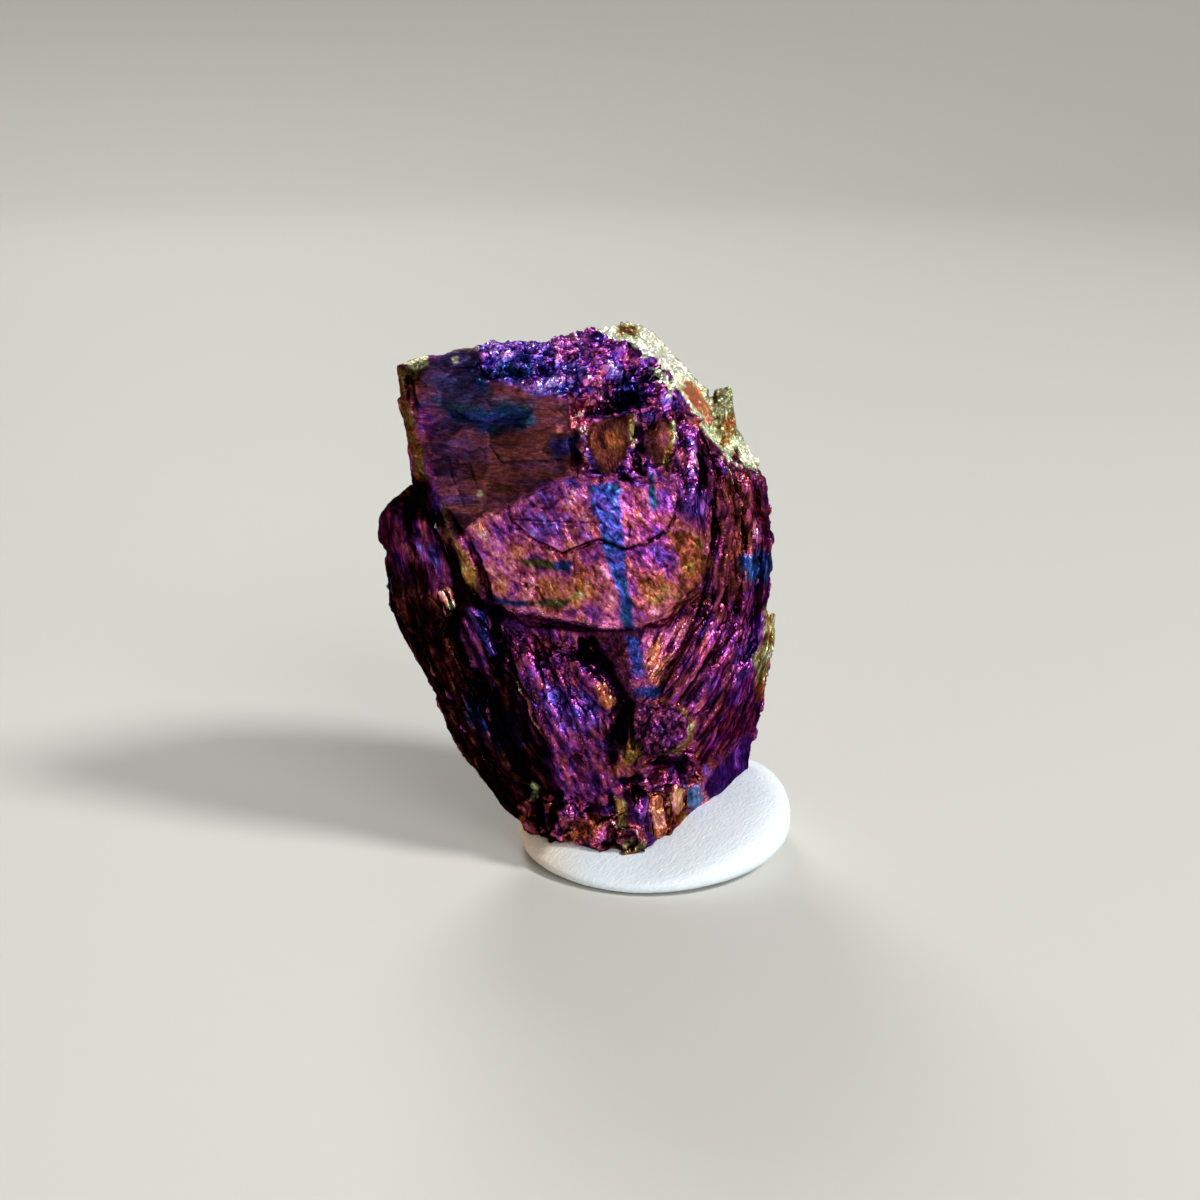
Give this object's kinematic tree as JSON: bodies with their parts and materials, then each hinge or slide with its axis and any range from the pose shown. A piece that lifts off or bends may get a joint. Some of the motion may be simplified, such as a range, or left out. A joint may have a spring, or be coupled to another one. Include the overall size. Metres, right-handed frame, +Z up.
{
  "type": "peacock ore specimen on a putty pad",
  "caption": "Upright lump of iridescent tarnished copper ore with a broad cleaved face and a brassy crest, held by a rounded pad of white mounting putty.",
  "frame": {"origin": "on the plane of the putty's flat underside, under the middle of the bounding box of ore and putty", "axes": "+Z up, the specimen's longest extent; the broad cleaved face looks along -Y and the brassy crest is towards +X and +Z"},
  "size_m": [0.0317, 0.0238, 0.0404],
  "materials": {
    "ore": "tarnished metallic ore with interference colours from copper through magenta and violet to blue, and bare brassy patches",
    "putty": "matt white mounting putty with faint hand-worked fibre marks"
  },
  "bodies": {
    "root": {"ore": "ore", "putty": "putty"}
  },
  "joints": []
}
